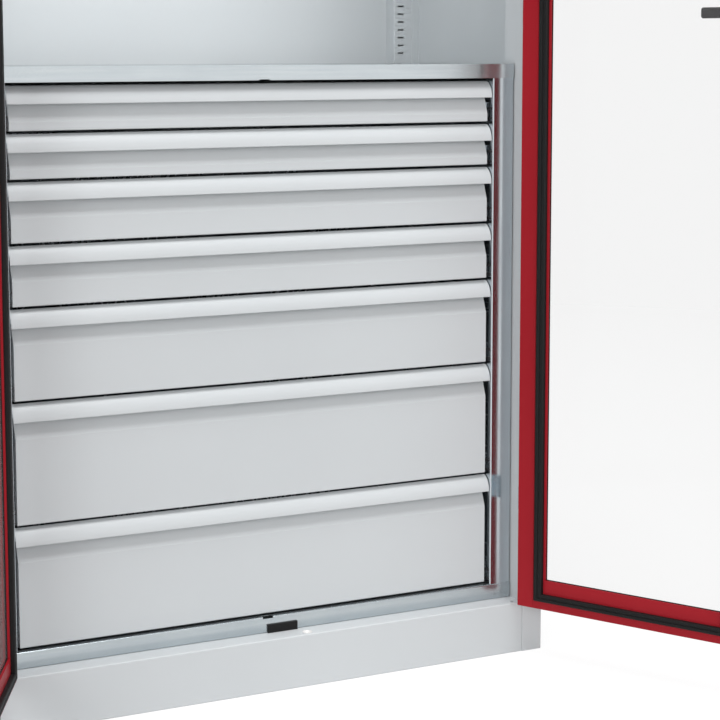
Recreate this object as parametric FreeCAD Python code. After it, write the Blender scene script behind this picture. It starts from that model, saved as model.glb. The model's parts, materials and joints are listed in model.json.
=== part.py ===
import FreeCAD
import Part
import math
import os

# Tall double-door tool cupboard. A galvanised housing with seven full-width drawers fills the
# lower half, and the space above its deck is open shelf space.
#
# Millimetres, +Z up. The origin is on the floor at the middle of the cabinet, the front faces -Y
# and +X is to the right of somebody who stands in front of it. The doors are built closed and
# then swung open to the angle at which the cupboard is stored. Right-hand pieces are built
# first, and the left-hand ones are their mirror images.

V = FreeCAD.Vector

# ---- Driving dimensions: casing ----------------------------------------------------------------
WIDTH = 1050.0
DEPTH = 525.0
HEIGHT = 2000.0
SHEET = 1.5
BEND = 1.0                     # inside radius of a bend
COLUMN = 41.0                  # width and depth of the two front columns
PLINTH = 91.0                  # height of the ledge that the doors close above
LEDGE = 40.0                   # depth of the ledge in front of the drawer housing
HEADER = 57.0                  # height of the bar above the doors
JOINT_GAP = 0.8                # between the plinth's ends and the columns
BACK_INSET = 21.0              # how far the back wall stands in from the rear edges
THIN = 1.2                     # sheet of back wall, posts, shelves, doors and drawers

# ---- Driving dimensions: shelf space -----------------------------------------------------------
POST_LEG = 31.0                # depth of a corner post's inner leg
POST_FLANGE = 26.0             # depth of the flange that lies on the side panel
SLOT_PITCH = 15.0
SLOT_WIDTH = 12.9
SLOT_HEIGHT = 3.0
SLOT_CENTRE = 496.7            # distance of the slots from the cabinet's middle plane
FIRST_SLOT = 1066.0
SLOT_COUNT = 61
SHELF_SLOTS = (18, 39)         # the slots that carry the two shelves
SHELF_DEPTH = 28.0             # height of a shelf's folded edge
SHELF_FRONT = -205.0
CLIP_REACH = 22.0              # how far a clip reaches under a shelf
CLIP_WIDTH = 15.0
CLIP_HEIGHT = 12.0
TONGUE_WIDTH = 11.5            # the part of a clip that goes through a slot
TONGUE_HEIGHT = 2.4

# ---- Driving dimensions: drawer housing --------------------------------------------------------
HOUSING_HALF = 440.0           # middle plane to the inside of a housing side
HOUSING_SHEET = 1.5
DECK_TOP = 1047.0
TOP_RAIL = 24.5
BOTTOM_RAIL = 27.6
RAIL_FLANGE = 14.0             # depth of the bottom rail's upper flange
RAIL_HALF = 481.8              # half length of the two front rails
NOTCH_WIDTH = 19.0             # notch in the middle of each rail
TOP_NOTCH = 1.5                # its height in the top rail
BOTTOM_NOTCH = 3.0             # its height in the bottom rail
NOTCH_DEPTH = 8.0              # its depth in the bottom rail's upper flange
HOUSING_JOG = 8.5              # width of the thinner edge of the housing's front flanges

# ---- Driving dimensions: drawers ---------------------------------------------------------------
MODULES = (75.0, 75.0, 100.0, 100.0, 150.0, 200.0, 200.0)
FIRST_LIP = 1017.3             # height of the uppermost drawer's grip
DRAWER_GAP = 4.9
FRONT_HALF = 433.5
GRIP_HALF = 438.5
FRONT_SETBACK = 58.5           # front plane of the cabinet to the upper part of a drawer front
FACE_STEP = 10.3               # how far a drawer's flat face stands out from that upper part
BAND_TOP = 28.0                # below the top of the grip, where the sloping band starts
BAND_BOTTOM = 56.0             # and where it ends
GRIP_REACH = 16.4              # how far a grip stands out
GRIP_DROP = 27.6               # how far a grip comes down
GRIP_THICK = 1.8
GRIP_WEB = 22.0                # height of the grip's strip that is fixed to the drawer front
TRAY_HALF = 427.0
TRAY_BACK = 196.0
TRAY_RAISED = 6.0              # drawer front's lower edge to the tray's bottom
TRAY_LOWERED = 14.0            # top of the grip to the tray's upper edge
SLIDE_HALF = 200.0             # half length of a slide
SLIDE_HEIGHT = 12.0            # tray bottom to the middle of its slides
CABINET_MEMBER_HALF = 14.5     # half heights of the three members of a slide
MIDDLE_MEMBER_HALF = 12.0
DRAWER_MEMBER_HALF = 9.5

# ---- Driving dimensions: doors -----------------------------------------------------------------
DOOR_THICK = 25.0
DOOR_GAP = 1.75                # half the gap between the two doors
DOOR_EDGE = 480.5              # middle plane to the hinge-side edge of a door
DOOR_BOTTOM = 92.5
DOOR_TOP = 1940.5
OPEN_DEG = 116.1               # the angle at which the doors are stored
HINGE_STILE = 56.0             # width of the door's frame on its hinge side
FREE_STILE = 84.0              # the same on the other side
RAIL = 53.0                    # height of the frame at top and bottom
HINGE_FLANGE = 32.4            # widths of the flange round the door's inner side
FREE_FLANGE = 30.0
END_FLANGE = 14.0
FLANGE_LAP = 8.0               # how far the inner sheet lies under that flange
SEAM_WIDTH = 0.9               # seam where the flanges at top and bottom meet those at the sides
SEAM_DEPTH = 0.5
WINDOW_STEP = 14.0             # how much further out the window's edge is in the outer sheet
PANE_DEPTH = 6.5               # door's inner face to the pane
PANE_LAP = 18.0
PANE_THICK = 4.0
SEAL_HEIGHT = 8.2
SEAL_FOOT = 6.6                # height of the seal in the groove between its two ridges
SEAL_GROOVE = 0.9
LAP_STRIP_ENDS = (110.0, 1925.0)

# ---- Driving dimensions: hinges ----------------------------------------------------------------
PIVOT_X = 484.5
PIVOT_Y = -265.0
HINGE_HEIGHT = 40.0
HINGE_FROM_END = 193.5         # a door's end to the middle of its hinge
BARREL_R = 6.0
PIN_R = 2.5
PIN_PLAY = 0.05
KNUCKLE_GAP = 0.5
LEAF_REACH = 4.5               # cabinet's front plane to where the leaves turn inwards
LEAF_THICK = 2.0
DOOR_LEAF_THICK = 1.6

# ---- Driving dimensions: lock ------------------------------------------------------------------
ROD_X = 61.0
ROD_Y = -250.0
ROD_R = 3.5
ROD_PLAY = 0.7
ROD_HOLE_R = 8.0
ROD_END = 23.5                 # middle of the spindle to the end of each rod
GUIDE_LEVELS = (250.0, 700.0, 1400.0, 1800.0)
SPINDLE_X = 53.0
SPINDLE_Z = 1130.0
SPINDLE_R = 5.0
CASE_HALF = 55.0               # half height of the lock case
CASE_DEPTH = 20.0
ROSETTE_R = 26.0
ROSETTE_THICK = 6.0
LEVER_LENGTH = 115.0

# ---- Driving dimensions: feet and fixings ------------------------------------------------------
FOOT_X = 440.0
FOOT_Y = 190.0
FOOT_HOLE_R = 5.5
DRAIN_R = 3.5
WALL_HOLE_X = 400.0
WALL_HOLE_Z = 1900.0
WALL_HOLE_R = 4.5

# ---- Derived places ----------------------------------------------------------------------------
HALF = WIDTH / 2
FRONT = -DEPTH / 2
BACK = DEPTH / 2
COLUMN_X = HALF - COLUMN
COLUMN_Y = FRONT + COLUMN
LEDGE_Y = FRONT + LEDGE
HEADER_Z = HEIGHT - HEADER
ROOF = HEIGHT - SHEET
BACK_Y = BACK - BACK_INSET
POST_X = 482.0
REAR_WEB = BACK_Y - POST_LEG
FRONT_WEB = -188.0
SIDE_INNER = HALF - SHEET
SHELF_BOTTOMS = [FIRST_SLOT + SLOT_PITCH * n + CLIP_HEIGHT / 2 for n in SHELF_SLOTS]
FRONT_Y = FRONT + FRONT_SETBACK
DOOR_BACK = FRONT + DOOR_THICK
HINGE_ZS = (DOOR_BOTTOM + HINGE_FROM_END, DOOR_TOP - HINGE_FROM_END)
WINDOW = (DOOR_GAP + FREE_STILE, DOOR_EDGE - HINGE_STILE, DOOR_BOTTOM + RAIL, DOOR_TOP - RAIL)
DOOR_OUTLINE = (DOOR_GAP, DOOR_EDGE, DOOR_BOTTOM, DOOR_TOP)
FLANGES = (FREE_FLANGE, HINGE_FLANGE, END_FLANGE, END_FLANGE)
INNER_FACE = DOOR_BACK - THIN  # back of the inner sheet, under the flange
PANE_BACK = DOOR_BACK - PANE_DEPTH


# ---- Shape helpers -----------------------------------------------------------------------------
def box(x0, x1, y0, y1, z0, z1):
    return Part.makeBox(x1 - x0, y1 - y0, z1 - z0, V(x0, y0, z0))


def cylinder(radius, start, end):
    return Part.makeCylinder(radius, (end - start).Length, start, end - start)


def joined(*shapes):
    return shapes[0].fuse(list(shapes[1:])).removeSplitter()


def mirrored(shape):
    return shape.mirror(V(0, 0, 0), V(1, 0, 0))


def both_sides(shape):
    return [shape, mirrored(shape)]


def line(start, end):
    return Part.LineSegment(start, end).toShape()


def left_of(start, end):
    along = (end - start).normalize()
    return V(-along.y, along.x, 0)


def shifted(points, distance):
    """A polyline moved to its left by a distance, with mitred corners."""
    normals = [left_of(a, b) for a, b in zip(points, points[1:])]
    moved = [points[0] + normals[0] * distance]
    for corner, before, after in zip(points[1:], normals, normals[1:]):
        moved.append(corner + (before + after) * (distance / (1 + before.dot(after))))
    moved.append(points[-1] + normals[-1] * distance)
    return moved


def bent_line(points, radii):
    """Edges along a polyline, with an arc at each inner corner."""
    edges = []
    start = points[0]
    for before, corner, after, radius in zip(points, points[1:], points[2:], radii):
        back = (before - corner).normalize()
        ahead = (after - corner).normalize()
        half_angle = back.getAngle(ahead) / 2
        reach = radius / math.tan(half_angle)
        crest = radius / math.sin(half_angle) - radius
        first = corner + back * reach
        last = corner + ahead * reach
        edges.append(line(start, first))
        edges.append(Part.Arc(first, corner + (back + ahead).normalize() * crest, last).toShape())
        start = last
    edges.append(line(start, points[-1]))
    return edges


def bend_radii(points, thickness):
    """Radii of a bent sheet's corners on the side that the polyline lies on."""
    radii = []
    for a, b, c in zip(points, points[1:], points[2:]):
        turns_left = (b - a).cross(c - b).z > 0
        radii.append(BEND + thickness if turns_left else BEND)
    return radii


def bent_sheet(outline, thickness, length):
    """Sheet bent along a polyline, with its thickness to the left, drawn out along Z."""
    near = [V(u, v, 0) for u, v in outline]
    far = shifted(near, thickness)
    radii = bend_radii(near, thickness)
    far_radii = [2 * BEND + thickness - radius for radius in radii]
    edges = bent_line(near, radii)
    edges.append(line(near[-1], far[-1]))
    edges += bent_line(far[::-1], far_radii[::-1])
    edges.append(line(far[0], near[0]))
    return Part.Face(Part.Wire(edges)).extrude(V(0, 0, length))


def upright(shape, bottom):
    """A piece drawn in plan, moved up to its bottom height."""
    shape.translate(V(0, 0, bottom))
    return shape


def crosswise(shape, left):
    """A piece drawn as a (Y, Z) section, turned to run along +X from its left end."""
    shape.rotate(V(0, 0, 0), V(1, 1, 1), 120)
    shape.translate(V(left, 0, 0))
    return shape


def inset(outline, widths):
    """A rectangle made smaller. The widths are those at low X, high X, bottom and top."""
    x0, x1, z0, z1 = outline
    return (x0 + widths[0], x1 - widths[1], z0 + widths[2], z1 - widths[3])


def plate(outline, y0, y1):
    """An upright rectangular plate."""
    x0, x1, z0, z1 = outline
    return box(x0, x1, y0, y1, z0, z1)


def frame_ring(outer, inner, y0, y1):
    """A flat rectangular frame between two rectangles."""
    return plate(outer, y0, y1).cut(plate(inner, y0 - 1, y1 + 1))


def save(node, *solids):
    shape = solids[0] if len(solids) == 1 else Part.makeCompound(list(solids))
    shape.exportStep("parts/" + node + ".step")


# ---- Casing ------------------------------------------------------------------------------------
def side_panel():
    """Side wall and front column in one sheet, notched where the hinges pass."""
    outline = [(COLUMN_X, COLUMN_Y), (COLUMN_X, FRONT), (HALF, FRONT), (HALF, BACK)]
    panel = upright(bent_sheet(outline, SHEET, ROOF), 0)
    half_notch = HINGE_HEIGHT / 2 + KNUCKLE_GAP
    right = PIVOT_X + BARREL_R + 0.8
    for z in HINGE_ZS:
        notch = box(COLUMN_X - 1, right, FRONT - 0.5, FRONT + LEAF_REACH, z - half_notch, z + half_notch)
        panel = panel.cut(notch)
    return panel


def back_panel():
    half = SIDE_INNER
    outline = [(-half, BACK), (-half, BACK_Y), (half, BACK_Y), (half, BACK)]
    panel = upright(bent_sheet(outline, THIN, ROOF - PLINTH), PLINTH)
    for x in (-WALL_HOLE_X, WALL_HOLE_X):
        start = V(x, BACK_Y - 5, WALL_HOLE_Z)
        panel = panel.cut(cylinder(WALL_HOLE_R, start, start + V(0, 10, 0)))
    return panel


def rod_hole(z):
    return cylinder(ROD_HOLE_R, V(ROD_X, ROD_Y, z - 5), V(ROD_X, ROD_Y, z + 5))


def top_panel():
    """Roof plate with the bar above the doors."""
    roof = box(-HALF, HALF, FRONT, BACK, ROOF, HEIGHT)
    header_rise = 17.0
    outline = [
        (FRONT, HEIGHT - 1),
        (FRONT, HEADER_Z),
        (LEDGE_Y, HEADER_Z),
        (LEDGE_Y, HEADER_Z + header_rise),
    ]
    header = crosswise(bent_sheet(outline, SHEET, 2 * COLUMN_X), -COLUMN_X)
    return joined(roof, header).cut(rod_hole(HEADER_Z))


def base_panel():
    """Plinth, ledge, floor plate and rear skirt in one sheet, with wings behind the columns."""
    toe = 25.0
    gap_top = PLINTH - 2 * SHEET
    outline = [
        (BACK - toe, 0),
        (BACK, 0),
        (BACK, PLINTH),
        (FRONT, PLINTH),
        (FRONT, 0),
        (FRONT + toe, 0),
    ]
    middle = crosswise(bent_sheet(outline, SHEET, 2 * COLUMN_X), -COLUMN_X)
    gap = box(COLUMN_X - JOINT_GAP, COLUMN_X + 1, FRONT - 1, COLUMN_Y, -1, gap_top)
    middle = middle.cut(Part.makeCompound(both_sides(gap)))
    wing = box(COLUMN_X, SIDE_INNER, COLUMN_Y, BACK, PLINTH - SHEET, PLINTH)
    skirt_end = box(COLUMN_X - 1, SIDE_INNER, BACK - SHEET, BACK, 0, PLINTH)
    panel = joined(middle, *both_sides(joined(wing, skirt_end))).cut(rod_hole(PLINTH))
    drain_x = COLUMN_X - 15
    drain_y = FRONT + 10.5
    for x in (-drain_x, drain_x):
        panel = panel.cut(cylinder(DRAIN_R, V(x, drain_y, PLINTH - 5), V(x, drain_y, PLINTH + 5)))
    return panel


def foot_bracket(y):
    """A floor plate with its bolt hole, turned up against the side panel."""
    half = 30.0
    thick = 3.0
    rise = 60.0
    floor_plate = box(FOOT_X - half, SIDE_INNER, y - half, y + half, 0, thick)
    flange = box(SIDE_INNER - thick, SIDE_INNER, y - half, y + half, 0, rise)
    hole = cylinder(FOOT_HOLE_R, V(FOOT_X, y, -5), V(FOOT_X, y, 10))
    return joined(floor_plate, flange).cut(hole)


def slotted_post(outline):
    """A corner post with a column of shelf slots."""
    post = upright(bent_sheet(outline, THIN, ROOF - PLINTH), PLINTH)
    web_y = outline[1][1]
    slots = []
    for n in range(SLOT_COUNT):
        z = FIRST_SLOT + SLOT_PITCH * n
        x0 = SLOT_CENTRE - SLOT_WIDTH / 2
        half = SLOT_HEIGHT / 2
        slots.append(box(x0, x0 + SLOT_WIDTH, web_y - 3, web_y + 3, z - half, z + half))
    return post.cut(Part.makeCompound(slots))


def rear_post():
    wall = SIDE_INNER - THIN
    outline = [
        (POST_X, BACK_Y),
        (POST_X, REAR_WEB),
        (wall, REAR_WEB),
        (wall, REAR_WEB - POST_FLANGE),
    ]
    return slotted_post(outline)


def front_post():
    wall = SIDE_INNER - THIN
    outline = [
        (wall, FRONT_WEB + POST_FLANGE),
        (wall, FRONT_WEB),
        (COLUMN_X, FRONT_WEB),
        (COLUMN_X, COLUMN_Y),
    ]
    return slotted_post(outline)


def shelf_outline(margin, z, height):
    """The shelf's plan shape, narrower at both ends where it passes the posts."""
    wide = SIDE_INNER - 2.5 - margin
    narrow = POST_X - 1 - margin
    wide_part = box(-wide, wide, FRONT_WEB + 2 + margin, REAR_WEB - 1 - margin, z, z + height)
    narrow_part = box(-narrow, narrow, SHELF_FRONT + margin, BACK_Y - 1.5 - margin, z, z + height)
    return joined(wide_part, narrow_part)


def shelf(bottom):
    """A shelf pan: top plate, folded edges all round and a stiffening channel underneath."""
    pan = shelf_outline(0, bottom, SHELF_DEPTH)
    pan = pan.cut(shelf_outline(THIN, bottom - 1, SHELF_DEPTH + 1 - THIN))
    low = bottom + 10
    high = bottom + SHELF_DEPTH - THIN
    length = 440.0
    width = 20.0
    rib = box(-length, length, -width, width, low, high)
    rib = rib.cut(box(-length - 1, length + 1, THIN - width, width - THIN, low + THIN, high))
    return joined(pan, rib)


def shelf_clip(web_y, inward, shelf_bottom):
    """A clip hooked into a post's slot. It reaches inward along Y and carries the shelf's edge."""
    def bar(end, width, low, high):
        x0 = SLOT_CENTRE - width / 2
        return box(x0, x0 + width, min(web_y, end), max(web_y, end), low, high)

    slot_z = shelf_bottom - CLIP_HEIGHT / 2
    half = TONGUE_HEIGHT / 2
    block = bar(web_y + inward * CLIP_REACH, CLIP_WIDTH, shelf_bottom - CLIP_HEIGHT, shelf_bottom)
    tongue = bar(web_y - inward * (THIN + 1.5), TONGUE_WIDTH, slot_z - half, slot_z + half)
    return joined(block, tongue)


def shelf_clips():
    clips = []
    for bottom in SHELF_BOTTOMS:
        clips += both_sides(shelf_clip(REAR_WEB, -1, bottom))
        clips += both_sides(shelf_clip(FRONT_WEB, 1, bottom))
    return clips


# ---- Drawer housing ----------------------------------------------------------------------------
def housing_side():
    """Side plate of the housing, turned outward at the front to close the gap to the column."""
    step = 0.8
    outline = [
        (HOUSING_HALF, REAR_WEB - 1.5),
        (HOUSING_HALF, LEDGE_Y),
        (RAIL_HALF, LEDGE_Y),
    ]
    wall = upright(bent_sheet(outline, HOUSING_SHEET, DECK_TOP - SHEET - PLINTH), PLINTH)
    jog_x = RAIL_HALF - HOUSING_JOG
    jog = box(jog_x, RAIL_HALF + 1, LEDGE_Y - 1, LEDGE_Y + step, PLINTH - 1, DECK_TOP)
    return wall.cut(jog)


def rail_notch(depth, z0, z1):
    half = NOTCH_WIDTH / 2
    return box(-half, half, LEDGE_Y - 5, LEDGE_Y + depth, z0, z1)


def deck_panel():
    """Deck over the drawers, with the housing's top rail folded down at its front."""
    rail_front = LEDGE_Y - THIN
    rail_bottom = DECK_TOP - TOP_RAIL
    deck_bottom = DECK_TOP - SHEET
    half = RAIL_HALF - 1.5
    wing_end = SIDE_INNER - THIN - 0.5
    wing_back = REAR_WEB - 1
    middle = box(-half, half, rail_front, BACK_Y - 1, deck_bottom, DECK_TOP)
    wing = box(half, wing_end, FRONT_WEB + 2, wing_back, deck_bottom, DECK_TOP)
    rail = box(-RAIL_HALF, RAIL_HALF, rail_front, LEDGE_Y, rail_bottom, DECK_TOP)
    notch = rail_notch(0.5, rail_bottom - 1, rail_bottom + TOP_NOTCH)
    return joined(middle, rail, *both_sides(wing)).cut(notch)


def housing_bottom_rail():
    """Channel under the drawers. Its flanges end at the housing sides, its web passes them."""
    top = PLINTH + BOTTOM_RAIL
    front = LEDGE_Y - THIN
    floor_back = LEDGE_Y + 27.5
    outline = [(LEDGE_Y + RAIL_FLANGE, top), (front, top), (front, PLINTH), (floor_back, PLINTH)]
    rail = crosswise(bent_sheet(outline, THIN, 2 * RAIL_HALF), -RAIL_HALF)
    end = box(HOUSING_HALF - 2, RAIL_HALF + 1, LEDGE_Y, floor_back + 1, PLINTH - 1, top + 1)
    rail = rail.cut(Part.makeCompound(both_sides(end)))
    return rail.cut(rail_notch(NOTCH_DEPTH, top - BOTTOM_NOTCH, top + 1))


def door_stop_pad():
    """Rubber block in front of the bottom rail, against which the doors close."""
    length = 55.5
    left = -1.5
    thick = 4.0
    height = 14.5
    back = LEDGE_Y - THIN
    pad = box(left, left + length, back - thick, back, PLINTH, PLINTH + height)
    front_edges = [edge for edge in pad.Edges if edge.BoundBox.YMax < back - thick + 0.1]
    return pad.makeFillet(1.0, front_edges)


def channel(web_x, tip, half_height, thickness, z):
    """A slide member: a web that starts at an X value, and two flanges that reach to the tip."""
    def strip(x0, x1, z0, z1):
        return box(min(x0, x1), max(x0, x1), -SLIDE_HALF, SLIDE_HALF, z0, z1)

    bottom = z - half_height
    top = z + half_height
    inwards = math.copysign(thickness, tip - web_x)
    web = strip(web_x, web_x + inwards, bottom, top)
    lower = strip(web_x, tip, bottom, bottom + thickness)
    upper = strip(web_x, tip, top - thickness, top)
    return joined(web, lower, upper)


def cabinet_member(z):
    return channel(HOUSING_HALF, TRAY_HALF + 2.5, CABINET_MEMBER_HALF, 1.4, z)


def middle_member(z):
    return channel(HOUSING_HALF - 4.0, TRAY_HALF + 3.5, MIDDLE_MEMBER_HALF, 1.2, z)


def drawer_member(z):
    return channel(TRAY_HALF, TRAY_HALF + 7, DRAWER_MEMBER_HALF, 1.2, z)


# ---- Drawers -----------------------------------------------------------------------------------
def drawer_levels():
    """For each drawer from the top: the height of its grip and the height of its front."""
    levels = []
    lip = FIRST_LIP
    for module in MODULES:
        levels.append((lip, module - DRAWER_GAP))
        lip -= module
    return levels


def drawer_front(lip, height):
    """Front with a recessed band behind the grip, a sloping band below it and a flat face."""
    face = FRONT_Y - FACE_STEP
    inner = FRONT_Y + THIN
    outline = [
        (FRONT_Y, lip - 1),
        (FRONT_Y, lip - BAND_TOP),
        (face, lip - BAND_BOTTOM),
        (face, lip - height),
        (inner, lip - height),
    ]
    sheet = crosswise(bent_sheet(outline, THIN, 2 * FRONT_HALF), -FRONT_HALF)
    corners = [V(y, z, 0) for y, z in outline]
    end_edges = bent_line(corners, bend_radii(corners, THIN))
    top = V(inner, lip - 1, 0)
    end_edges.append(line(corners[-1], top))
    end_edges.append(line(top, corners[0]))
    end_face = Part.Face(Part.Wire(end_edges))
    right_end = crosswise(end_face.extrude(V(0, 0, THIN)), FRONT_HALF - THIN)
    return joined(sheet, *both_sides(right_end))


def drawer_grip(lip):
    """Full-width grip: a rounded lip that curves out and down from the top of the front."""
    plane = FRONT_Y - 1.0

    def at(out, down):
        return V(plane - out, lip - down, 0)

    radius = (GRIP_REACH ** 2 + GRIP_DROP ** 2) / (2 * GRIP_REACH)
    inner_radius = radius - GRIP_THICK
    centre_out = GRIP_REACH - radius

    def on_arc(arc_radius, angle):
        return at(centre_out + arc_radius * math.cos(angle), GRIP_DROP - arc_radius * math.sin(angle))

    def arc(start, middle, end):
        return Part.Arc(start, middle, end).toShape()

    web = 0.6
    outer_end = math.asin(GRIP_DROP / radius)
    inner_end = math.acos((web - centre_out) / inner_radius)
    tip_radius = GRIP_THICK / 2
    tip = at(GRIP_REACH - tip_radius, GRIP_DROP + tip_radius)
    outer_tip = at(GRIP_REACH, GRIP_DROP)
    inner_tip = at(GRIP_REACH - GRIP_THICK, GRIP_DROP)
    inner_top = on_arc(inner_radius, inner_end)
    edges = [
        line(at(-1, 0), at(0, 0)),
        arc(at(0, 0), on_arc(radius, outer_end / 2), outer_tip),
        arc(outer_tip, tip, inner_tip),
        arc(inner_tip, on_arc(inner_radius, inner_end / 2), inner_top),
        line(inner_top, at(web, GRIP_WEB)),
        line(at(web, GRIP_WEB), at(-1, GRIP_WEB)),
        line(at(-1, GRIP_WEB), at(-1, 0)),
    ]
    return crosswise(Part.Face(Part.Wire(edges)).extrude(V(0, 0, 2 * GRIP_HALF)), -GRIP_HALF)


def tray_bottom(lip, height):
    return lip - height + TRAY_RAISED


def drawer_tray(lip, height):
    bottom = tray_bottom(lip, height)
    top = lip - TRAY_LOWERED
    front = FRONT_Y + THIN
    tray = box(-TRAY_HALF, TRAY_HALF, front, TRAY_BACK, bottom, top)
    half = TRAY_HALF - SHEET
    return tray.cut(box(-half, half, front + THIN, TRAY_BACK - SHEET, bottom + THIN, top + 1))


# ---- Doors, built closed -----------------------------------------------------------------------
def flange_seams():
    """Fine grooves where the flanges at the door's top and bottom meet those at its sides."""
    opening = inset(DOOR_OUTLINE, FLANGES)
    grooves = []
    for x in opening[:2]:
        for z0, z1 in ((DOOR_BOTTOM, opening[2]), (opening[3], DOOR_TOP)):
            half = SEAM_WIDTH / 2
            grooves.append(box(x - half, x + half, DOOR_BACK - SEAM_DEPTH, DOOR_BACK + 1, z0, z1))
    return grooves


def door_skin(has_lock):
    """Outer sheet of a door: front, edges, inner flanges and the reveal round the window."""
    sheet = (THIN,) * 4
    outer_window = inset(WINDOW, (-WINDOW_STEP,) * 4)
    skin = plate(DOOR_OUTLINE, FRONT, DOOR_BACK)
    skin = skin.makeFillet(1.6, skin.Edges)
    skin = skin.cut(plate(inset(DOOR_OUTLINE, sheet), FRONT + THIN, INNER_FACE))
    skin = skin.cut(plate(inset(DOOR_OUTLINE, FLANGES), DOOR_BACK - 3, DOOR_BACK + 1))
    skin = skin.cut(plate(outer_window, FRONT - 1, FRONT + 3))
    reveal_outline = inset(outer_window, (-THIN,) * 4)
    reveal = frame_ring(reveal_outline, outer_window, FRONT + THIN, PANE_BACK - PANE_THICK)
    skin = joined(skin, reveal).cut(Part.makeCompound(flange_seams()))
    half_notch = HINGE_HEIGHT / 2 + KNUCKLE_GAP
    left = DOOR_EDGE - 3.3
    depth = LEAF_REACH + 0.6
    for z in HINGE_ZS:
        z0 = z - half_notch
        z1 = z + half_notch
        skin = skin.cut(box(left, DOOR_EDGE + 1, FRONT - 1, FRONT + depth, z0, z1))
    if has_lock:
        start = V(SPINDLE_X, FRONT - 2, SPINDLE_Z)
        skin = skin.cut(cylinder(ROD_HOLE_R, start, start + V(0, 5, 0)))
        for z in (DOOR_BOTTOM, DOOR_TOP):
            skin = skin.cut(rod_passage(z - 3, z + 3))
    return skin


def lap_strip():
    """Strip on the left door's free edge that covers the gap between the doors from behind."""
    low, high = LAP_STRIP_ENDS
    foot_thick = 0.4
    reach = 10.0
    fixed = 20.0
    cover_y = DOOR_BACK + foot_thick
    foot = box(3, fixed, DOOR_BACK, cover_y, low, high)
    cover = box(-reach, fixed, cover_y, cover_y + SHEET, low, high)
    return joined(foot, cover)


def door_inner_frame():
    """Inner sheet of a door, under the skin's flanges, folded in at the window."""
    outer = inset(DOOR_OUTLINE, [width - FLANGE_LAP for width in FLANGES])
    sheet = frame_ring(outer, WINDOW, INNER_FACE - THIN, INNER_FACE)
    fold = frame_ring(inset(WINDOW, (-THIN,) * 4), WINDOW, PANE_BACK, INNER_FACE - THIN)
    return joined(sheet, fold)


def door_pane():
    return plate(inset(WINDOW, (-PANE_LAP,) * 4), PANE_BACK - PANE_THICK, PANE_BACK)


def seal_ridge(outer, widths):
    """One rounded ridge of the seal, running round the door's inner sheet."""
    top = INNER_FACE + SEAL_HEIGHT
    ridge = frame_ring(outer, inset(outer, widths), INNER_FACE, top)
    upper = [edge for edge in ridge.Edges if edge.BoundBox.YMin > top - 0.01]
    return ridge.makeFillet(2.4, upper)


def door_seal():
    """Rubber seal round the inner sheet: two rounded ridges with a shallow groove between."""
    end_gap = 15.5
    outer = (70.5, 444.1, DOOR_BOTTOM + end_gap, DOOR_TOP - end_gap)
    widths = (13.5, 16.0, 13.1, 13.1)
    ridge_widths = [(width - SEAL_GROOVE) / 2 for width in widths]
    inner = inset(outer, [width + SEAL_GROOVE for width in ridge_widths])
    foot_sides = [width / 2 for width in ridge_widths]
    foot_outer = inset(outer, foot_sides)
    foot_inner = inset(inner, foot_sides)
    foot = frame_ring(foot_outer, foot_inner, INNER_FACE, INNER_FACE + SEAL_FOOT)
    return joined(foot, seal_ridge(outer, ridge_widths), seal_ridge(inner, ridge_widths))


# ---- Hinges ------------------------------------------------------------------------------------
def knuckles(z, indexes, arm_x, arm_back):
    """Barrel pieces of a hinge, counted up from its bottom, each with an arm to its leaf."""
    length = (HINGE_HEIGHT - 2 * KNUCKLE_GAP) / 3
    pieces = []
    for index in indexes:
        low = z - HINGE_HEIGHT / 2 + index * (length + KNUCKLE_GAP)
        start = V(PIVOT_X, PIVOT_Y, low)
        end = start + V(0, 0, length)
        arm = box(*arm_x, FRONT + 0.2, arm_back, low, low + length)
        pieces += [cylinder(BARREL_R, start, end), arm]
    return pieces


def pin_hole(radius, z):
    start = V(PIVOT_X, PIVOT_Y, z - HINGE_HEIGHT)
    return cylinder(radius, start, start + V(0, 0, 2 * HINGE_HEIGHT))


def column_hinge_leaf(z):
    """The fixed leaf, inside the column, with the outer two knuckles."""
    half = HINGE_HEIGHT / 2
    inside = COLUMN_X + SHEET
    arm_back = FRONT + LEAF_REACH
    leaf = box(inside, inside + LEAF_THICK, arm_back, arm_back + 26, z - half, z + half)
    arms = knuckles(z, (0, 2), (inside - 0.5, PIVOT_X + 6.5), arm_back)
    return joined(leaf, *arms).cut(pin_hole(PIN_R, z))


def door_hinge_leaf(z):
    """The moving leaf, on the door's edge, with the middle knuckle."""
    half = HINGE_HEIGHT / 2
    outside = DOOR_EDGE + DOOR_LEAF_THICK
    arm_back = FRONT + LEAF_REACH + 1
    leaf = box(DOOR_EDGE, outside, FRONT + LEAF_REACH, DOOR_BACK - 2.5, z - half, z + half)
    arms = knuckles(z, (1,), (DOOR_EDGE, outside), arm_back)
    return joined(leaf, *arms).cut(pin_hole(PIN_R + PIN_PLAY, z))


def hinge_pin(z):
    start = V(PIVOT_X, PIVOT_Y, z - HINGE_HEIGHT / 2)
    return cylinder(PIN_R, start, start + V(0, 0, HINGE_HEIGHT))


# ---- Lock on the right door --------------------------------------------------------------------
def rod_passage(z0, z1):
    """Room for a lock rod with its play."""
    return cylinder(ROD_R + ROD_PLAY, V(ROD_X, ROD_Y, z0), V(ROD_X, ROD_Y, z1))


def lock_case():
    """Case inside the door's stile, open towards the outer sheet that it is fixed to."""
    wall = 1.5
    base = FRONT + THIN
    back = base + CASE_DEPTH
    outline = (36.0, ROD_X + 5.8, SPINDLE_Z - CASE_HALF, SPINDLE_Z + CASE_HALF)
    case = plate(outline, base, back)
    case = case.cut(plate(inset(outline, (wall,) * 4), base - 1, back - wall))
    return case.cut(rod_passage(outline[2] - 5, outline[3] + 5))


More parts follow.
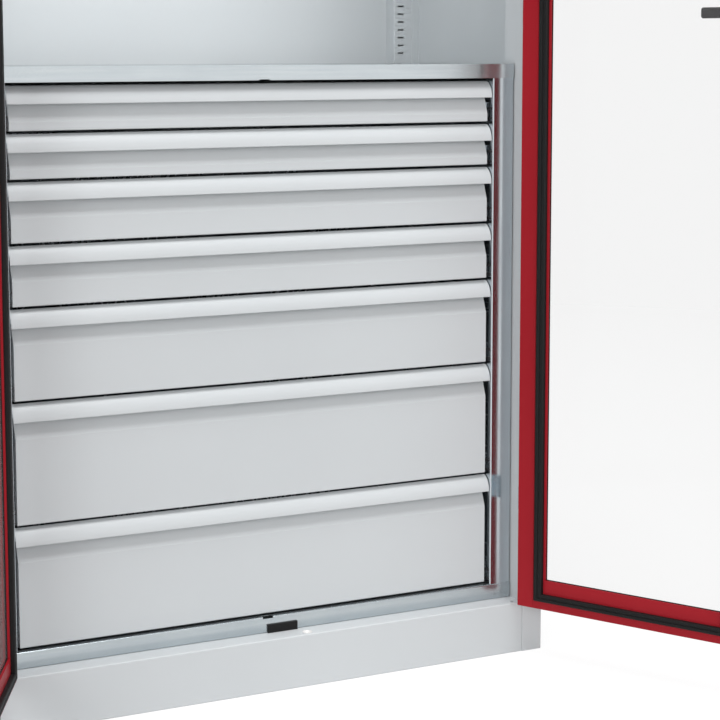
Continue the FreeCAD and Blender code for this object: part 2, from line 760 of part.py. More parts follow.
def lock_rosette():
    """Round collar on the door's outer side, round the spindle."""
    outer = V(SPINDLE_X, FRONT - ROSETTE_THICK, SPINDLE_Z)
    inner = V(SPINDLE_X, FRONT, SPINDLE_Z)
    disc = cylinder(ROSETTE_R, outer, inner)
    rim = [edge for edge in disc.Edges if edge.BoundBox.YMax < outer.y + 1]
    disc = disc.makeFillet(2, rim)
    return disc.cut(cylinder(SPINDLE_R + 0.3, outer - V(0, 5, 0), inner + V(0, 5, 0)))


def lock_handle():
    """Lever, hub, spindle and cam in one piece."""
    def on_axis(offset):
        return V(SPINDLE_X, FRONT + offset, SPINDLE_Z)

    spindle = cylinder(SPINDLE_R, on_axis(-14), on_axis(18))
    hub = cylinder(13, on_axis(-29), on_axis(-ROSETTE_THICK - 0.5))
    cam = cylinder(9, on_axis(10), on_axis(15))
    half = 9.0
    far = SPINDLE_X + LEVER_LENGTH
    lever = box(SPINDLE_X, far, FRONT - 29, FRONT - 17, SPINDLE_Z - half, SPINDLE_Z + half)
    far_edges = [edge for edge in lever.Edges if edge.CenterOfMass.x > SPINDLE_X + 1]
    lever = lever.makeFillet(4, far_edges)
    return joined(spindle, hub, cam, lever)


def lock_rod(low, high):
    return cylinder(ROD_R, V(ROD_X, ROD_Y, low), V(ROD_X, ROD_Y, high))


def rod_guide(z):
    """A block on the inner sheet with a hole that the rod runs through."""
    half = 6.0
    block = box(ROD_X - half, ROD_X + half, ROD_Y - half, INNER_FACE - THIN, z - half, z + half)
    return block.cut(rod_passage(z - 10, z + 10))


# ---- Opening the doors -------------------------------------------------------------------------
def swung(shape):
    """A right-door piece turned about the hinge pins from closed to the stored angle."""
    shape.rotate(V(PIVOT_X, PIVOT_Y, 0), V(0, 0, 1), OPEN_DEG)
    return shape


# ---- Output ------------------------------------------------------------------------------------
def save_casing():
    save("side_panel_right", side_panel())
    save("side_panel_left", mirrored(side_panel()))
    save("back_panel", back_panel())
    save("top_panel", top_panel())
    save("base_panel", base_panel())
    save("foot_brackets", *both_sides(foot_bracket(FOOT_Y)), *both_sides(foot_bracket(-FOOT_Y)))
    save("slotted_posts", *both_sides(rear_post()), *both_sides(front_post()))
    save("shelves", *[shelf(bottom) for bottom in SHELF_BOTTOMS])
    save("shelf_clips", *shelf_clips())


def save_housing():
    save("housing_side_right", housing_side())
    save("housing_side_left", mirrored(housing_side()))
    save("deck_panel", deck_panel())
    save("housing_bottom_rail", housing_bottom_rail())
    save("door_stop_pad", door_stop_pad())
    members = []
    for lip, height in drawer_levels():
        members += both_sides(cabinet_member(tray_bottom(lip, height) + SLIDE_HEIGHT))
    save("cabinet_slide_rails", *members)


def save_drawers():
    for number, (lip, height) in enumerate(drawer_levels(), start=1):
        name = "drawer_" + str(number)
        slide_z = tray_bottom(lip, height) + SLIDE_HEIGHT
        save(name + "_front", drawer_front(lip, height))
        save(name + "_grip", drawer_grip(lip))
        save(name + "_tray", drawer_tray(lip, height), *both_sides(drawer_member(slide_z)))
        save(name + "_slide_middle", *both_sides(middle_member(slide_z)))


def save_hinges():
    save("hinge_column_leaves", *[leaf for z in HINGE_ZS for leaf in both_sides(column_hinge_leaf(z))])
    save("hinge_pins", *[pin for z in HINGE_ZS for pin in both_sides(hinge_pin(z))])


def save_doors():
    right_leaves = [swung(door_hinge_leaf(z)) for z in HINGE_ZS]
    save("door_right_skin", swung(door_skin(True)))
    save("door_right_inner_frame", swung(door_inner_frame()))
    save("door_right_pane", swung(door_pane()))
    save("door_right_seal", swung(door_seal()))
    save("door_right_hinge_leaves", *right_leaves)
    save("door_left_skin", mirrored(swung(joined(door_skin(False), lap_strip()))))
    save("door_left_inner_frame", mirrored(swung(door_inner_frame())))
    save("door_left_pane", mirrored(swung(door_pane())))
    save("door_left_seal", mirrored(swung(door_seal())))
    save("door_left_hinge_leaves", *[mirrored(leaf) for leaf in right_leaves])


def save_lock():
    save("lock_case", swung(lock_case()), swung(lock_rosette()))
    save("lock_handle", swung(lock_handle()))
    save("lock_rod_lower", swung(lock_rod(DOOR_BOTTOM + 1, SPINDLE_Z - ROD_END)))
    save("lock_rod_upper", swung(lock_rod(SPINDLE_Z + ROD_END, DOOR_TOP - 1)))
    save("lock_rod_guides", *[swung(rod_guide(z)) for z in GUIDE_LEVELS])


os.makedirs("parts", exist_ok=True)
save_casing()
save_housing()
save_drawers()
save_hinges()
save_doors()
save_lock()
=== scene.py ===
"""Looks of the tall tool cupboard: finishes, small fittings, studio and camera.

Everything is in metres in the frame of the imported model: +Z up, the cupboard's front towards -Y,
the origin on the floor at the middle of the cabinet.
"""
import json
import math

import bmesh
import bpy
from mathutils import Matrix, Vector


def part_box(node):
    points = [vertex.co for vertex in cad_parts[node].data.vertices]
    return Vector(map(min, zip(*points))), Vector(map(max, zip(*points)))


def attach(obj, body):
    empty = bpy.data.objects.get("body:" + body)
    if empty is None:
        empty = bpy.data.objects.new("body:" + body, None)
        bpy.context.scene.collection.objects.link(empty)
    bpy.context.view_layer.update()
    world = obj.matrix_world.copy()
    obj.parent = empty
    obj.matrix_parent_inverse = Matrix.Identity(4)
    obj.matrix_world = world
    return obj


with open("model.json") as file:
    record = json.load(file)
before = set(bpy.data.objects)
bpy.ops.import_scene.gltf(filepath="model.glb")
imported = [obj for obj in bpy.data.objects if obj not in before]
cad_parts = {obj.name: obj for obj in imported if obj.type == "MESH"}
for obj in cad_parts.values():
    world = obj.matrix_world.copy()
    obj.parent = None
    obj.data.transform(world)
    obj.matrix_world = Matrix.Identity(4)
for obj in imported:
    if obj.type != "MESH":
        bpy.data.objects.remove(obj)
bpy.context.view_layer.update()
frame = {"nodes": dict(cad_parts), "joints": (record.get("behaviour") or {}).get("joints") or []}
scene = bpy.context.scene
scene.view_settings.view_transform = "Standard"
nodes = frame["nodes"]
joints = {joint["name"]: joint for joint in frame["joints"]}

DRAWERS = range(1, 8)
SIDES = {"left": -1, "right": 1}     # and the way along X in which each side faces outward
WHITE = (1, 1, 1, 1)


# ---- Camera -------------------------------------------------------------------------------
PICTURE = 720             # side of the square picture, in pixels
SENSOR = 36.0             # side of the sensor, in mm
FOCAL_PIXELS = 1956
CAMERA_PLACE = Vector((-1.372, -3.142, 1.066))
CAMERA_YAW = math.radians(26.89)     # from +Y towards +X
CAMERA_PITCH = math.radians(6.84)    # downwards
CAMERA_ROLL = math.radians(-0.16)
CAMERA_SHIFT = (0.05, -0.10)
NEAREST_SEEN = 0.05       # the camera shows nothing nearer than this


def aimed(place, direction):
    """Placement of a camera or a lamp that looks along a direction."""
    turn = direction.to_track_quat("-Z", "Y").to_matrix().to_4x4()
    return Matrix.Translation(place) @ turn


def make_camera():
    data = bpy.data.cameras.new("camera")
    data.sensor_fit = "HORIZONTAL"
    data.sensor_width = SENSOR
    data.lens = FOCAL_PIXELS / PICTURE * SENSOR
    data.shift_x, data.shift_y = CAMERA_SHIFT
    data.clip_start = NEAREST_SEEN
    camera = bpy.data.objects.new("camera", data)
    scene.collection.objects.link(camera)
    level = math.cos(CAMERA_PITCH)
    forward = Vector((
        math.sin(CAMERA_YAW) * level,
        math.cos(CAMERA_YAW) * level,
        -math.sin(CAMERA_PITCH),
    ))
    roll = Matrix.Rotation(CAMERA_ROLL, 4, "Z")
    camera.matrix_world = aimed(CAMERA_PLACE, forward) @ roll
    scene.camera = camera


# ---- Studio -------------------------------------------------------------------------------
WORLD_LIGHT = 0.36        # strength at which the white world lights the object
LAMPS = (                 # name, place, target, size, power, whether metal and gloss mirror it
    ("front", (0.7, -6.2, 1.5), (0.1, 0, 1.05), (3.2, 2.2), 60, False),
    ("left", (-4.2, -4.0, 2.4), (0, -0.2, 0.9), (2.4, 2.4), 108, False),
    ("top", (0, -3.6, 12.0), (0, -0.2, 0), (6.5, 4.5), 1040, True),
)
SHELF_LAMPS = (1.20, 1.51, 1.82)     # heights of the lamps in the shelf spaces
SHELF_LAMP_X = -0.1
SHELF_LAMP_Y = -0.2                  # they face the point as far behind the middle
SHELF_LAMP_SIZE = (0.8, 0.2)
SHELF_LAMP_POWER = 1.5
SHELF_SPREAD = math.radians(145)     # keeps their light off the shelves beside them
FLOOR_SIZE = 60.0
FLOOR_TONE = 0.76
FLOOR_WHITE = 0.80        # share of plain white in the floor where the camera or a pane shows it
FLOOR_GLOSS = 0.25        # and where it is mirrored in metal or paint
FLOOR_GLOW = 1.12         # strength of that white near the object
FLOOR_FADE = (2.2, 5.0)   # distances between which the floor turns into plain white


def new_tree(material_or_world):
    material_or_world.use_nodes = True
    tree = material_or_world.node_tree
    tree.nodes.clear()
    return tree


def node(tree, kind, inputs=None, **settings):
    made = tree.nodes.new(kind)
    for name, value in settings.items():
        setattr(made, name, value)
    for name, value in (inputs or {}).items():
        socket = made.inputs[name]
        if isinstance(value, bpy.types.NodeSocket):
            tree.links.new(value, socket)
        else:
            socket.default_value = value
    return made


def maths(tree, operation, *values):
    return node(tree, "ShaderNodeMath", dict(enumerate(values)), operation=operation).outputs[0]


def seen_share(tree, seen, mirrored):
    """One value for rays from the camera or through a pane, another for mirrored ones."""
    rays = node(tree, "ShaderNodeLightPath").outputs
    direct = maths(tree, "MAXIMUM", rays["Is Camera Ray"], rays["Is Transmission Ray"])
    seen_part = maths(tree, "MULTIPLY", direct, seen)
    gloss_part = maths(tree, "MULTIPLY", rays["Is Glossy Ray"], mirrored)
    return maths(tree, "MAXIMUM", seen_part, gloss_part)


def make_world():
    """White background for everything that is seen, at a plainer level for what is lit."""
    world = bpy.data.worlds.new("studio")
    scene.world = world
    tree = new_tree(world)
    seen = seen_share(tree, 1.0, 1.0)
    levels = {"Value": seen, "To Min": WORLD_LIGHT, "To Max": 1.0}
    strength = node(tree, "ShaderNodeMapRange", levels)
    colours = {"Color": WHITE, "Strength": strength.outputs[0]}
    background = node(tree, "ShaderNodeBackground", colours)
    output = node(tree, "ShaderNodeOutputWorld")
    tree.links.new(background.outputs[0], output.inputs["Surface"])


def make_floor():
    """Pale floor that keeps the object's shadow, with plain white mixed in where it is seen."""
    half = FLOOR_SIZE / 2
    mesh = bpy.data.meshes.new("floor")
    corners = [(-half, -half, 0), (half, -half, 0), (half, half, 0), (-half, half, 0)]
    mesh.from_pydata(corners, [], [(0, 1, 2, 3)])
    floor = bpy.data.objects.new("floor", mesh)
    scene.collection.objects.link(floor)
    material = bpy.data.materials.new("floor")
    tree = new_tree(material)
    tone = (FLOOR_TONE, FLOOR_TONE, FLOOR_TONE, 1)
    lit = node(tree, "ShaderNodeBsdfDiffuse", {"Color": tone})
    place = node(tree, "ShaderNodeTexCoord").outputs["Object"]
    distance = node(tree, "ShaderNodeVectorMath", {0: place}, operation="LENGTH").outputs["Value"]
    glow = ranged(tree, distance, FLOOR_GLOW, 1.0, *FLOOR_FADE)
    white = node(tree, "ShaderNodeEmission", {"Color": WHITE, "Strength": glow})
    near_share = seen_share(tree, FLOOR_WHITE, FLOOR_GLOSS)
    far_share = seen_share(tree, 1.0, 1.0)
    far = ranged(tree, distance, 0, 1, *FLOOR_FADE)
    gain = maths(tree, "SUBTRACT", far_share, near_share)
    share = maths(tree, "MULTIPLY_ADD", far, gain, near_share)
    mix = node(tree, "ShaderNodeMixShader", {0: share, 1: lit.outputs[0], 2: white.outputs[0]})
    output = node(tree, "ShaderNodeOutputMaterial")
    tree.links.new(mix.outputs[0], output.inputs["Surface"])
    mesh.materials.append(material)


def area_light(name, place, target, size, power, mirrored, spread=math.pi):
    data = bpy.data.lights.new(name, "AREA")
    data.shape = "RECTANGLE"
    data.size, data.size_y = size
    data.energy = power
    data.spread = spread
    light = bpy.data.objects.new(name, data)
    scene.collection.objects.link(light)
    light.matrix_world = aimed(place, Vector(target) - Vector(place))
    light.visible_camera = False
    light.visible_glossy = mirrored


def make_lights():
    """Soft lamps in front, at the left and overhead, and a weak one in each shelf space."""
    for lamp in LAMPS:
        area_light(*lamp)
    for number, z in enumerate(SHELF_LAMPS):
        place = (SHELF_LAMP_X, SHELF_LAMP_Y, z)
        target = (SHELF_LAMP_X, -SHELF_LAMP_Y, z)
        name = f"shelf_{number}"
        area_light(name, place, target, SHELF_LAMP_SIZE, SHELF_LAMP_POWER, False, SHELF_SPREAD)


# ---- Finishes -----------------------------------------------------------------------------
# Noise scales are per metre, and bump distances are in metres.
def surface_material(name):
    """A material with its node tree, its shader and the place on the piece that leads noise."""
    material = bpy.data.materials.new(name)
    tree = new_tree(material)
    shader = node(tree, "ShaderNodeBsdfPrincipled")
    output = node(tree, "ShaderNodeOutputMaterial")
    tree.links.new(shader.outputs[0], output.inputs["Surface"])
    place = node(tree, "ShaderNodeTexCoord").outputs["Object"]
    return material, tree, shader, place


def noise(tree, place, scale, detail, stretch=(1, 1, 1)):
    mapped = node(tree, "ShaderNodeMapping", {"Vector": place, "Scale": stretch}).outputs[0]
    inputs = {"Vector": mapped, "Scale": scale, "Detail": detail}
    return node(tree, "ShaderNodeTexNoise", inputs).outputs["Fac"]


def ranged(tree, value, low, high, from_low=0.3, from_high=0.7):
    """A value led from one span to another. The usual span is the one that noise fills."""
    inputs = {
        "Value": value,
        "From Min": from_low,
        "From Max": from_high,
        "To Min": low,
        "To Max": high,
    }
    return node(tree, "ShaderNodeMapRange", inputs).outputs[0]


def toned(tree, value, dark, light):
    """A colour between two tones, led by a 0 to 1 value."""
    inputs = {0: value, 6: (*dark, 1), 7: (*light, 1)}
    return node(tree, "ShaderNodeMix", inputs, data_type="RGBA").outputs[2]


def bumped(tree, shader, height, distance, strength):
    inputs = {"Height": height, "Distance": distance, "Strength": strength}
    bump = node(tree, "ShaderNodeBump", inputs)
    tree.links.new(bump.outputs[0], shader.inputs["Normal"])


def coloured(tree, shader, value, dark, light):
    """Base colour that wavers between two tones."""
    tone = toned(tree, ranged(tree, value, 0, 1), dark, light)
    tree.links.new(tone, shader.inputs["Base Color"])


def roughened(tree, shader, value, low, high):
    tree.links.new(ranged(tree, value, low, high), shader.inputs["Roughness"])


def powder_coat(name, dark, light, roughness, gloss):
    """Smooth powder coat: faint cloudiness, fine orange peel, satin gloss."""
    material, tree, shader, place = surface_material(name)
    cloud = noise(tree, place, scale=2.2, detail=3.0)
    peel = noise(tree, place, scale=900.0, detail=2.0)
    coloured(tree, shader, cloud, dark, light)
    roughened(tree, shader, cloud, roughness - 0.03, roughness + 0.03)
    shader.inputs["Specular IOR Level"].default_value = gloss
    bumped(tree, shader, peel, distance=0.00004, strength=0.35)
    return material


def galvanised(name, dark, light, roughness, along, metal):
    """Rolled zinc-coated sheet: bluish metal with soft streaks along the rolling direction."""
    material, tree, shader, place = surface_material(name)
    streaks = noise(tree, place, scale=160.0, detail=3.0, stretch=along)
    patches = noise(tree, place, scale=9.0, detail=4.0)
    both = maths(tree, "ADD", streaks, patches)
    mean = maths(tree, "MULTIPLY", both, 0.5)
    coloured(tree, shader, mean, dark, light)
    roughened(tree, shader, mean, roughness + 0.04, roughness - 0.04)
    shader.inputs["Metallic"].default_value = metal
    bumped(tree, shader, streaks, distance=0.00003, strength=0.25)
    return material


GRAZING_POWER = 5.0        # how late a pane's reflections set in as the view slants


def clear_pane(tone, refraction, cover, slant_cover):
    """Clear pane. Its cover is the share of it that shows, with more of it at a slant."""
    material, tree, shader, place = surface_material("clear_pane")
    shader.inputs["Base Color"].default_value = (*tone, 1)
    shader.inputs["IOR"].default_value = refraction
    wave = noise(tree, place, scale=1.4, detail=1.0)
    roughened(tree, shader, wave, 0.03, 0.05)
    away = node(tree, "ShaderNodeLayerWeight", {"Blend": 0.5}).outputs["Facing"]
    slant = maths(tree, "POWER", away, GRAZING_POWER)
    shown = maths(tree, "MULTIPLY_ADD", slant, slant_cover, cover)
    tree.links.new(shown, shader.inputs["Alpha"])
    return material


GRAIN_LIFT = 1.35          # how much lighter the specks of a moulded piece are


def moulded(name, tone, roughness, grain, gloss):
    """Rubber or moulded plastic with a fine grain."""
    material, tree, shader, place = surface_material(name)
    specks = noise(tree, place, scale=grain, detail=3.0)
    coloured(tree, shader, specks, tone, [value * GRAIN_LIFT for value in tone])
    roughened(tree, shader, specks, roughness - 0.05, roughness + 0.05)
    shader.inputs["Specular IOR Level"].default_value = gloss
    bumped(tree, shader, specks, distance=0.00005, strength=0.4)
    return material


def bright_steel():
    """Turned steel with fine lines."""
    material, tree, shader, place = surface_material("bright_steel")
    lines = noise(tree, place, scale=700.0, detail=2.0, stretch=(1, 1, 0.1))
    coloured(tree, shader, lines, (0.42, 0.42, 0.43), (0.6, 0.6, 0.61))
    roughened(tree, shader, lines, 0.22, 0.32)
    shader.inputs["Metallic"].default_value = 1.0
    return material


GREY = powder_coat("grey_paint", (0.560, 0.588, 0.603), (0.585, 0.613, 0.628), 0.42, gloss=0.4)
RED = powder_coat("red_paint", (0.315, 0.010, 0.017), (0.345, 0.012, 0.020), 0.40, gloss=0.15)
ALONG_X = (0.04, 1, 1)     # stretches that draw noise out into streaks
ALONG_Y = (1, 0.05, 1)
ALONG_Z = (1, 1, 0.04)
ZINC_X = galvanised("zinc_across", (0.56, 0.61, 0.64), (0.64, 0.69, 0.71), 0.20, ALONG_X, 0.90)
ZINC_Z = galvanised("zinc_upright", (0.56, 0.61, 0.65), (0.64, 0.69, 0.72), 0.14, ALONG_Z, 0.98)
# Darker copy of zinc_across for the housing's bottom rail: painted shade for the dimmer light and
# reflection low in the housing
ZINC_PAINTED_SHADE = galvanised(
    "zinc_rail_painted_shade", (0.47, 0.52, 0.55), (0.54, 0.59, 0.61), 0.18, ALONG_X, 0.90
)
ZINC_Y = galvanised("zinc_lengthwise", (0.52, 0.56, 0.60), (0.60, 0.64, 0.67), 0.26, ALONG_Y, 0.72)
PANE = clear_pane((0.34, 0.35, 0.35), refraction=1.49, cover=0.078, slant_cover=0.92)
RUBBER = moulded("black_rubber", (0.0060, 0.0058, 0.0060), 0.55, grain=500.0, gloss=0.25)
PLASTIC = moulded("black_plastic", (0.014, 0.014, 0.015), 0.42, grain=900.0, gloss=0.4)
WHITE_PLASTIC = moulded("white_plastic", (0.66, 0.66, 0.65), 0.35, grain=900.0, gloss=0.5)
STEEL = bright_steel()

FINISHES = {
    "side_panel_left": GREY,
    "side_panel_right": GREY,
    "back_panel": GREY,
    "top_panel": GREY,
    "base_panel": GREY,
    "slotted_posts": GREY,
    "shelves": GREY,
    "foot_brackets": ZINC_X,
    "shelf_clips": ZINC_X,
    "housing_side_left": ZINC_Z,
    "housing_side_right": ZINC_Z,
    "deck_panel": ZINC_X,
    "housing_bottom_rail": ZINC_PAINTED_SHADE,
    "cabinet_slide_rails": ZINC_Y,
    "door_stop_pad": RUBBER,
    "hinge_column_leaves": ZINC_Z,
    "hinge_pins": STEEL,
    "lock_case": PLASTIC,
    "lock_rod_guides": PLASTIC,
    "lock_handle": PLASTIC,
    "lock_rod_lower": ZINC_Z,
    "lock_rod_upper": ZINC_Z,
}
for side in SIDES:
    FINISHES[f"door_{side}_skin"] = RED
    FINISHES[f"door_{side}_inner_frame"] = RED
    FINISHES[f"door_{side}_pane"] = PANE
    FINISHES[f"door_{side}_seal"] = RUBBER
    FINISHES[f"door_{side}_hinge_leaves"] = ZINC_Z
for number in DRAWERS:
    FINISHES[f"drawer_{number}_front"] = GREY
    FINISHES[f"drawer_{number}_grip"] = GREY
    FINISHES[f"drawer_{number}_tray"] = ZINC_Y
    FINISHES[f"drawer_{number}_slide_middle"] = ZINC_Y


WELD = 0.00002             # vertices nearer than this are one
CREASE = math.radians(24)  # edges that bend more than this stay sharp
FLAT_WEIGHT = 100          # large faces alone decide the normals beside them


def crease_group():
    """Node group that shades faces smooth and keeps the edges above the crease angle sharp."""
    group = bpy.data.node_groups.new("smooth_by_angle", "GeometryNodeTree")
    group.interface.new_socket("Geometry", in_out="INPUT", socket_type="NodeSocketGeometry")
    group.interface.new_socket("Geometry", in_out="OUTPUT", socket_type="NodeSocketGeometry")
    entry = group.nodes.new("NodeGroupInput")
    result = group.nodes.new("NodeGroupOutput")
    angle = group.nodes.new("GeometryNodeInputMeshEdgeAngle").outputs["Unsigned Angle"]
    sharp = node(group, "FunctionNodeCompare", {"A": angle, "B": CREASE}, operation="GREATER_THAN")
    shading = "GeometryNodeSetShadeSmooth"
    smooth = {"Geometry": entry.outputs[0], "Shade Smooth": True}
    faces = node(group, shading, smooth, domain="FACE")
    split = {"Geometry": faces.outputs[0], "Selection": sharp.outputs[0], "Shade Smooth": False}
    edges = node(group, shading, split, domain="EDGE")
    group.links.new(edges.outputs[0], result.inputs[0])
    return group


creases = crease_group()


def smooth_by_angle(piece):
    weld = piece.modifiers.new("weld", "WELD")
    weld.merge_threshold = WELD
    piece.modifiers.new("creases", "NODES").node_group = creases
    flats = piece.modifiers.new("flats", "WEIGHTED_NORMAL")
    flats.keep_sharp = True
    flats.weight = FLAT_WEIGHT


def dress_cad_nodes():
    for name, material in FINISHES.items():
        mesh = nodes[name].data
        mesh.materials.clear()
        mesh.materials.append(material)
        smooth_by_angle(nodes[name])


# ---- Small pieces -------------------------------------------------------------------------
# Their shapes are in millimetres round their own origins. A profile is (radius, height) points.
MM_PER_METRE = 1000
MM = Matrix.Scale(1 / MM_PER_METRE, 4)
STEPS = 40                  # segments of a turned piece
ARC_STEPS = 16              # segments of an arc
BUSH = (
    (4.3, -14),
    (7.4, -14),
    (7.6, -1),
    (7.6, 0.05),
    (8.7, 0.05),
    (8.7, 0.4),
    (8.3, 0.8),
    (7.3, 0.8),
    (4.3, -2.6),
)
RIVET = ((3.2, 0), (3.2, 0.3), (2.7, 0.8), (1.7, 1.15), (0.5, 1.3))
FLAT_RIVET = ((3.0, 0), (3.0, 0.3), (2.5, 0.6), (0.6, 0.7))
SCREW_HEAD = ((1.3, -0.3), (3.4, -0.3), (3.4, 0.5), (2.6, 1.1), (1.5, 1.15), (1.3, 0.9))
SCREW_SOCKET = ((1.4, -0.3), (1.4, 0.1))
LOCK_RING = ((6.2, -0.5), (9.0, -0.5), (9.0, 1.2), (8.4, 1.8), (6.8, 1.8), (6.2, 1.2))
LOCK_FLOOR = ((6.3, -0.5), (6.3, 0.1))
PLUG_R = 6.2                # face of the lock cylinder inside its ring
PLUG_RISE = 1.0
KEY_SLOT = 1.5              # width of the slot in that face
GLAZING = ((0, 0), (1.3, 0), (1.3, 0.9), (0.8, 1.6), (0, 1.6))    # inward and out from the pane
CATCH_HALF = 3.2            # a slide catch is a rounded bar: half its length between the ends
CATCH_R = 2.4
CATCH_THICK = 2.6

# Their places are in metres.
HUB_REACH = 0.029           # outer sheet of the door to the outer end of the handle's hub
ROSETTE_REACH = 0.006       # and to the face of the rosette
SCREW_CIRCLE = 0.0195       # distance of the rosette's screws from its middle
PANE_LAP = 0.018            # how far the pane reaches under the inner sheet
CATCH_Y = -0.2125
CATCH_RISES = (0.0055, 0.0225)       # above a drawer front's lower edge
LEAF_THICK = 0.0016
LEAF_RIVET_Y = -0.249
LEAF_RIVET_RISES = (-0.012, 0.012)   # from the middle of the hinge
HINGE_HALF = 0.020          # half the height of a hinge leaf
BACK_SHEET = 0.0012         # thickness of the back panel's sheet
BACK_RIVET_X = 0.514
BACK_RIVET_ROWS = 9
BACK_RIVET_MARGIN = 0.08    # from the back panel's ends to the first and last of them


def turned(profile, capped=False):
    """A profile turned about Z: a ring, or a button with flat ends."""
    vertices = []
    for radius, height in profile:
        for step in range(STEPS):
            angle = 2 * math.pi * step / STEPS
            vertices.append((radius * math.cos(angle), radius * math.sin(angle), height))
    rings = len(profile)
    faces = []
    for ring in range(rings - 1 if capped else rings):
        low = ring * STEPS
        high = (ring + 1) % rings * STEPS
        for step in range(STEPS):
            after = (step + 1) % STEPS
            faces.append((low + step, low + after, high + after, high + step))
    if capped:
        faces.append(tuple(range(STEPS)))
        faces.append(tuple(range(rings * STEPS - STEPS, rings * STEPS)))
    return vertices, faces


def arc(x, radius, start, end):
    """Points from one angle to another, in degrees, round a centre on the X axis."""
    steps = range(ARC_STEPS + 1)
    angles = [math.radians(start + (end - start) * step / ARC_STEPS) for step in steps]
    return [(x + radius * math.cos(angle), radius * math.sin(angle)) for angle in angles]


def prism(outline, low, high):
    """A flat outline drawn out along Z."""
    count = len(outline)
    vertices = [(x, y, low) for x, y in outline] + [(x, y, high) for x, y in outline]
    faces = [(i, (i + 1) % count, (i + 1) % count + count, i + count) for i in range(count)]
    return vertices, faces + [tuple(range(count)), tuple(range(count, 2 * count))]


def framed(profile, low, high):
    """A profile of (inward, out) points run round a rectangle in the XZ plane, with +Y out."""
    vertices = []
    for x, x_way, z, z_way in (
        (low.x, 1, low.z, 1),
        (high.x, -1, low.z, 1),
        (high.x, -1, high.z, -1),
        (low.x, 1, high.z, -1),
    ):
        vertices += [(x + x_way * inward, out, z + z_way * inward) for inward, out in profile]
    count = len(profile)
    faces = []
    for corner in range(4):
        here = corner * count
        there = (corner + 1) % 4 * count
        for i in range(count):
            after = (i + 1) % count
            faces.append((here + i, here + after, there + after, there + i))
    return vertices, faces


def facing(place, direction):
    """Millimetres round a place, with Z along a direction and Y upwards where it can be."""
    turn = Vector(direction).to_track_quat("Z", "Y").to_matrix().to_4x4()
    return Matrix.Translation(place) @ turn @ MM


def add_piece(name, parts, material, body):
    """A mesh out of several parts, each a pair of a matrix and (vertices, faces)."""
    work = bmesh.new()
    for place, (vertices, faces) in parts:
        made = [work.verts.new(place @ Vector(vertex)) for vertex in vertices]
        for face in faces:
            work.faces.new([made[i] for i in face])
    bmesh.ops.recalc_face_normals(work, faces=work.faces)
    mesh = bpy.data.meshes.new(name)
    work.to_mesh(mesh)
    work.free()
    mesh.materials.append(material)
    piece = bpy.data.objects.new(name, mesh)
    scene.collection.objects.link(piece)
    smooth_by_angle(piece)
    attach(piece, body)


def door_turn(side):
    """Moves a piece from a closed door's place to the open one in which the door is stored."""
    joint = joints[f"door_{side}_swing"]
    pivot = Matrix.Translation(joint["pos_m"])
    opening = Matrix.Rotation(math.radians(-joint["range_deg"][0]), 4, Vector(joint["axis"]))
    return pivot @ opening @ pivot.inverted()


def closed_box(side, name):
    """Lowest and highest corners that a door's CAD node has when the door is closed."""
    back = door_turn(side).inverted()
    places = [back @ vertex.co for vertex in nodes[name].data.vertices]
    low = Vector([min(place[i] for place in places) for i in range(3)])
    high = Vector([max(place[i] for place in places) for i in range(3)])
    return low, high


def add_rod_bushes():
    """White bushes in the ledge and in the header, which take the ends of the lock rods."""
    low, high = closed_box("right", "lock_rod_lower")
    x, y = ((low + high) / 2).xy
    ledge = facing((x, y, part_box("base_panel")[1][2]), (0, 0, 1))
    header = facing((x, y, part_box("top_panel")[0][2]), (0, 0, -1))
    add_piece("rod_bush_lower", [(ledge, turned(BUSH))], WHITE_PLASTIC, "root")
    add_piece("rod_bush_upper", [(header, turned(BUSH))], WHITE_PLASTIC, "root")


def add_glazing(side):
    """Thin black strip in the corner between a pane and the inner sheet's fold."""
    low, high = closed_box(side, f"door_{side}_pane")
    lap = Vector((PANE_LAP, 0, PANE_LAP))
    shape = framed(GLAZING, (low + lap) * MM_PER_METRE, (high - lap) * MM_PER_METRE)
    place = door_turn(side) @ Matrix.Translation((0, high.y, 0)) @ MM
    add_piece(f"glazing_strip_{side}", [(place, shape)], RUBBER, f"door_{side}")


def add_hinge_rivets(side, outward):
    """Flat rivets that hold the hinge leaves on a door's edge."""
    edge = max(abs(corner.x) for corner in closed_box(side, f"door_{side}_skin"))
    low, high = closed_box(side, f"door_{side}_hinge_leaves")
    parts = []
    for middle in (low.z + HINGE_HALF, high.z - HINGE_HALF):
        for rise in LEAF_RIVET_RISES:
            place = (outward * (edge + LEAF_THICK), LEAF_RIVET_Y, middle + rise)
            when_closed = facing(place, (outward, 0, 0))
            parts.append((door_turn(side) @ when_closed, turned(FLAT_RIVET, True)))
    add_piece(f"hinge_rivets_{side}", parts, STEEL, f"door_{side}")


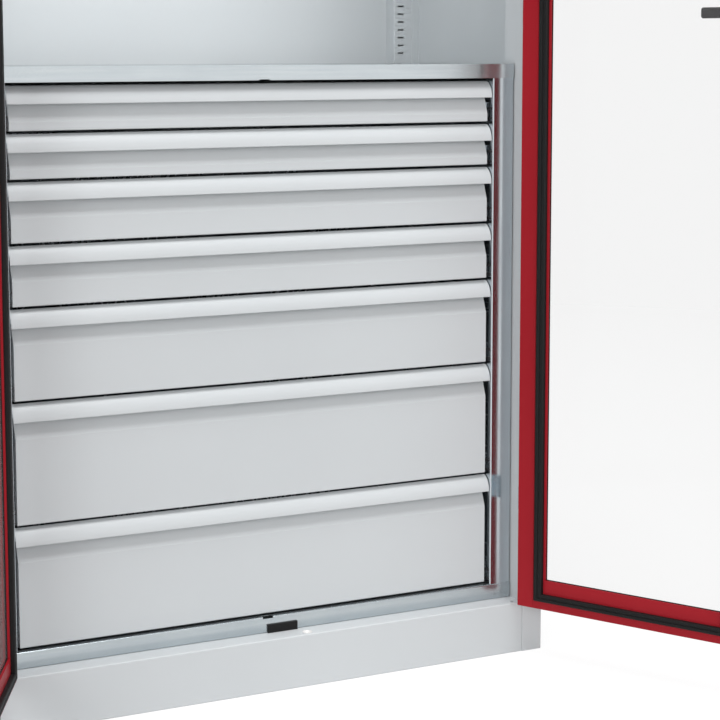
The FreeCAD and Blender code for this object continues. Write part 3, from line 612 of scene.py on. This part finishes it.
def add_slide_catches():
    """Black catches of the drawer slides, in the gaps between the drawers and the housing."""
    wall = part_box("housing_side_right")[0][0]
    outline = arc(CATCH_HALF, CATCH_R, -90, 90) + arc(-CATCH_HALF, CATCH_R, 90, 270)
    catch = prism(outline, 0, CATCH_THICK)
    parts = []
    for number in DRAWERS:
        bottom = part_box(f"drawer_{number}_front")[0][2]
        for rise in CATCH_RISES:
            for outward in SIDES.values():
                place = (outward * wall, CATCH_Y, bottom + rise)
                parts.append((facing(place, (-outward, 0, 0)), catch))
    add_piece("slide_catches", parts, PLASTIC, "root")


def add_lock_details():
    """Lock cylinder with its key slot in the handle's hub, and the screws of the rosette."""
    axis = Vector(joints["lock_turn"]["axis"])
    spindle = Vector(joints["lock_turn"]["pos_m"])
    hub = facing(spindle - axis * HUB_REACH, -axis)
    slant = math.degrees(math.asin(KEY_SLOT / 2 / PLUG_R))
    right_half = arc(0, PLUG_R, slant - 90, 90 - slant)
    left_half = arc(0, PLUG_R, 90 + slant, 270 - slant)
    parts = [(hub, turned(LOCK_RING)), (hub, turned(LOCK_FLOOR, True))]
    parts += [(hub, prism(half, LOCK_FLOOR[1][1], PLUG_RISE)) for half in (right_half, left_half)]
    add_piece("lock_cylinder", parts, STEEL, "lock_handle")
    rosette = spindle - axis * ROSETTE_REACH
    screws = []
    for rise in (-SCREW_CIRCLE, SCREW_CIRCLE):
        place = facing(rosette + Vector((0, 0, rise)), -axis)
        screws += [(place, turned(SCREW_HEAD)), (place, turned(SCREW_SOCKET, True))]
    add_piece("rosette_screws", screws, STEEL, "door_right")


def add_back_rivets():
    """Rivets along both sides of the back panel."""
    low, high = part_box("back_panel")
    first = low[2] + BACK_RIVET_MARGIN
    spacing = (high[2] - BACK_RIVET_MARGIN - first) / (BACK_RIVET_ROWS - 1)
    parts = []
    for row in range(BACK_RIVET_ROWS):
        for x in (-BACK_RIVET_X, BACK_RIVET_X):
            place = (x, low[1] + BACK_SHEET, first + row * spacing)
            parts.append((facing(place, (0, 1, 0)), turned(RIVET, True)))
    add_piece("back_rivets", parts, STEEL, "root")


make_camera()
make_world()
make_floor()
make_lights()
dress_cad_nodes()
add_rod_bushes()
for side, outward in SIDES.items():
    add_glazing(side)
    add_hinge_rivets(side, outward)
add_slide_catches()
add_lock_details()
add_back_rivets()
